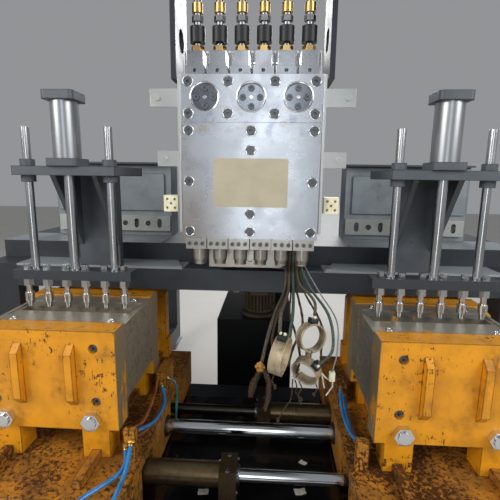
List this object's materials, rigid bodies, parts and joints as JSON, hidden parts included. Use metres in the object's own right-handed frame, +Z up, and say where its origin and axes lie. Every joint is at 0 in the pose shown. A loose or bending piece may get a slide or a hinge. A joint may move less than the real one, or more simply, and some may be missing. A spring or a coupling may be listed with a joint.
{
  "type": "blow moulding machine",
  "caption": "Double-station extrusion blow moulding machine with a multi-parison die head, two shuttling mould carriages, blow pins and a top extruder.",
  "frame": {"origin": "on the floor under the middle of the machine", "axes": "+X operator right, +Y to the back of the machine, +Z up"},
  "size_m": [1.6, 2.74, 2.016],
  "materials": {
    "black_paint": "dark blue-grey machine paint, satin, scuffed at the edges",
    "dark_sheet": "near-black oily cover sheet",
    "zinc": "zinc plated and blackened screws",
    "polished_rod": "ground and chromed",
    "worn_cylinder": "worn dark paint over steel",
    "grey_panel": "matt light metal",
    "ground_steel": "ground tool steel, brushed across",
    "plate_metal": "champagne sheet, bare",
    "ceramic": "cream ceramic",
    "dark_steel": "blackened steel",
    "barrel_steel": "nitrided steel",
    "band_heater": "heat-stained stainless bands",
    "blue_paint": "blue enamel",
    "spun_sheet": "spun stainless sheet",
    "grey_motor": "grey painted casting",
    "yellow_paint": "orange-yellow paint chipped to rust",
    "mould_steel": "worn grey-brown mould steel",
    "blue_hose": "polyurethane hose",
    "brass": "brass and copper fittings",
    "lead": "braided heater leads"
  },
  "bodies": {
    "frame": {"floor_sills": "black_paint", "levelling_feet": "zinc", "bed_housing": "black_paint", "cover_sheet": "dark_sheet", "end_brackets": "black_paint", "guide_rods": "polished_rod", "shift_cylinders": "worn_cylinder", "posts": "black_paint", "crossbeam": "black_paint", "deck": "black_paint", "deck_brackets": "black_paint", "side_panels": "grey_panel", "slotted_bars": "grey_panel", "socket_screws": "zinc", "head_body": "ground_steel", "face_plates": "ground_steel", "port_plugs": "ground_steel", "nameplate": "plate_metal", "side_covers": "ground_steel", "terminal_blocks": "ceramic", "guide_blocks": "ground_steel", "die_clamps": "ground_steel", "die_nozzles": "ground_steel", "bottom_flange": "ground_steel", "servo_cylinder": "dark_steel", "extruder_barrel": "barrel_steel", "barrel_heaters": "band_heater", "gearbox": "blue_paint", "drive_motor": "blue_paint", "hopper": "spun_sheet", "blow_stands": "dark_steel", "oil_tank": "black_paint", "pump_motor": "grey_motor", "heater_bands": "band_heater", "loose_leads": "lead"},
    "mandrel_set": {"mandrels": "dark_steel", "mandrel_yoke": "dark_steel"},
    "feed_screw": {"extruder_screw": "barrel_steel"},
    "left_carriage": {"left_saddle": "yellow_paint", "left_shift_rod": "polished_rod", "left_hoses": "blue_hose"},
    "left_front_clamp": {"left_front_platen": "yellow_paint", "left_front_mould": "mould_steel", "left_tie_bars": "polished_rod", "left_crosshead": "yellow_paint"},
    "left_rear_clamp": {"left_rear_platen": "yellow_paint", "left_rear_mould": "mould_steel", "left_clamp_rod": "polished_rod"},
    "left_blow_unit": {"left_blow_pins": "dark_steel"},
    "right_carriage": {"right_saddle": "yellow_paint", "right_shift_rod": "polished_rod", "right_hoses": "blue_hose"},
    "right_front_clamp": {"right_front_platen": "yellow_paint", "right_front_mould": "mould_steel", "right_tie_bars": "polished_rod", "right_crosshead": "yellow_paint"},
    "right_rear_clamp": {"right_rear_platen": "yellow_paint", "right_rear_mould": "mould_steel", "right_clamp_rod": "polished_rod"},
    "right_blow_unit": {"right_blow_pins": "dark_steel"}
  },
  "joints": [
    {"name": "left_shift", "type": "slide", "parent": "frame", "child": "left_carriage", "axis": [1, 0, 0], "range_m": [0, 0.445]},
    {"name": "right_shift", "type": "slide", "parent": "frame", "child": "right_carriage", "axis": [1, 0, 0], "range_m": [-0.445, 0]},
    {"name": "left_clamp", "type": "slide", "parent": "left_carriage", "child": "left_front_clamp", "axis": [0, 1, 0], "range_m": [-0.09, 0]},
    {"name": "left_clamp_rear", "type": "slide", "parent": "left_carriage", "child": "left_rear_clamp", "axis": [0, 1, 0], "range_m": [0, 0.09]},
    {"name": "right_clamp", "type": "slide", "parent": "right_carriage", "child": "right_front_clamp", "axis": [0, -1, 0], "range_m": [0, 0.09]},
    {"name": "right_clamp_rear", "type": "slide", "parent": "right_carriage", "child": "right_rear_clamp", "axis": [0, -1, 0], "range_m": [-0.09, 0]},
    {"name": "left_blow", "type": "slide", "parent": "frame", "child": "left_blow_unit", "axis": [0, 0, 1], "range_m": [-0.06, 0]},
    {"name": "right_blow", "type": "slide", "parent": "frame", "child": "right_blow_unit", "axis": [0, 0, 1], "range_m": [-0.06, 0]},
    {"name": "mandrel_lift", "type": "slide", "parent": "frame", "child": "mandrel_set", "axis": [0, 0, 1], "range_m": [0, 0.01]},
    {"name": "screw_turn", "type": "hinge", "parent": "frame", "child": "feed_screw", "pos_m": [0, -0.2, 1.43], "axis": [0, 1, 0], "continuous": true}
  ],
  "couplings": [
    {"joint": "left_clamp_rear", "follows": "left_clamp", "ratio": -1},
    {"joint": "right_clamp_rear", "follows": "right_clamp", "ratio": -1}
  ]
}
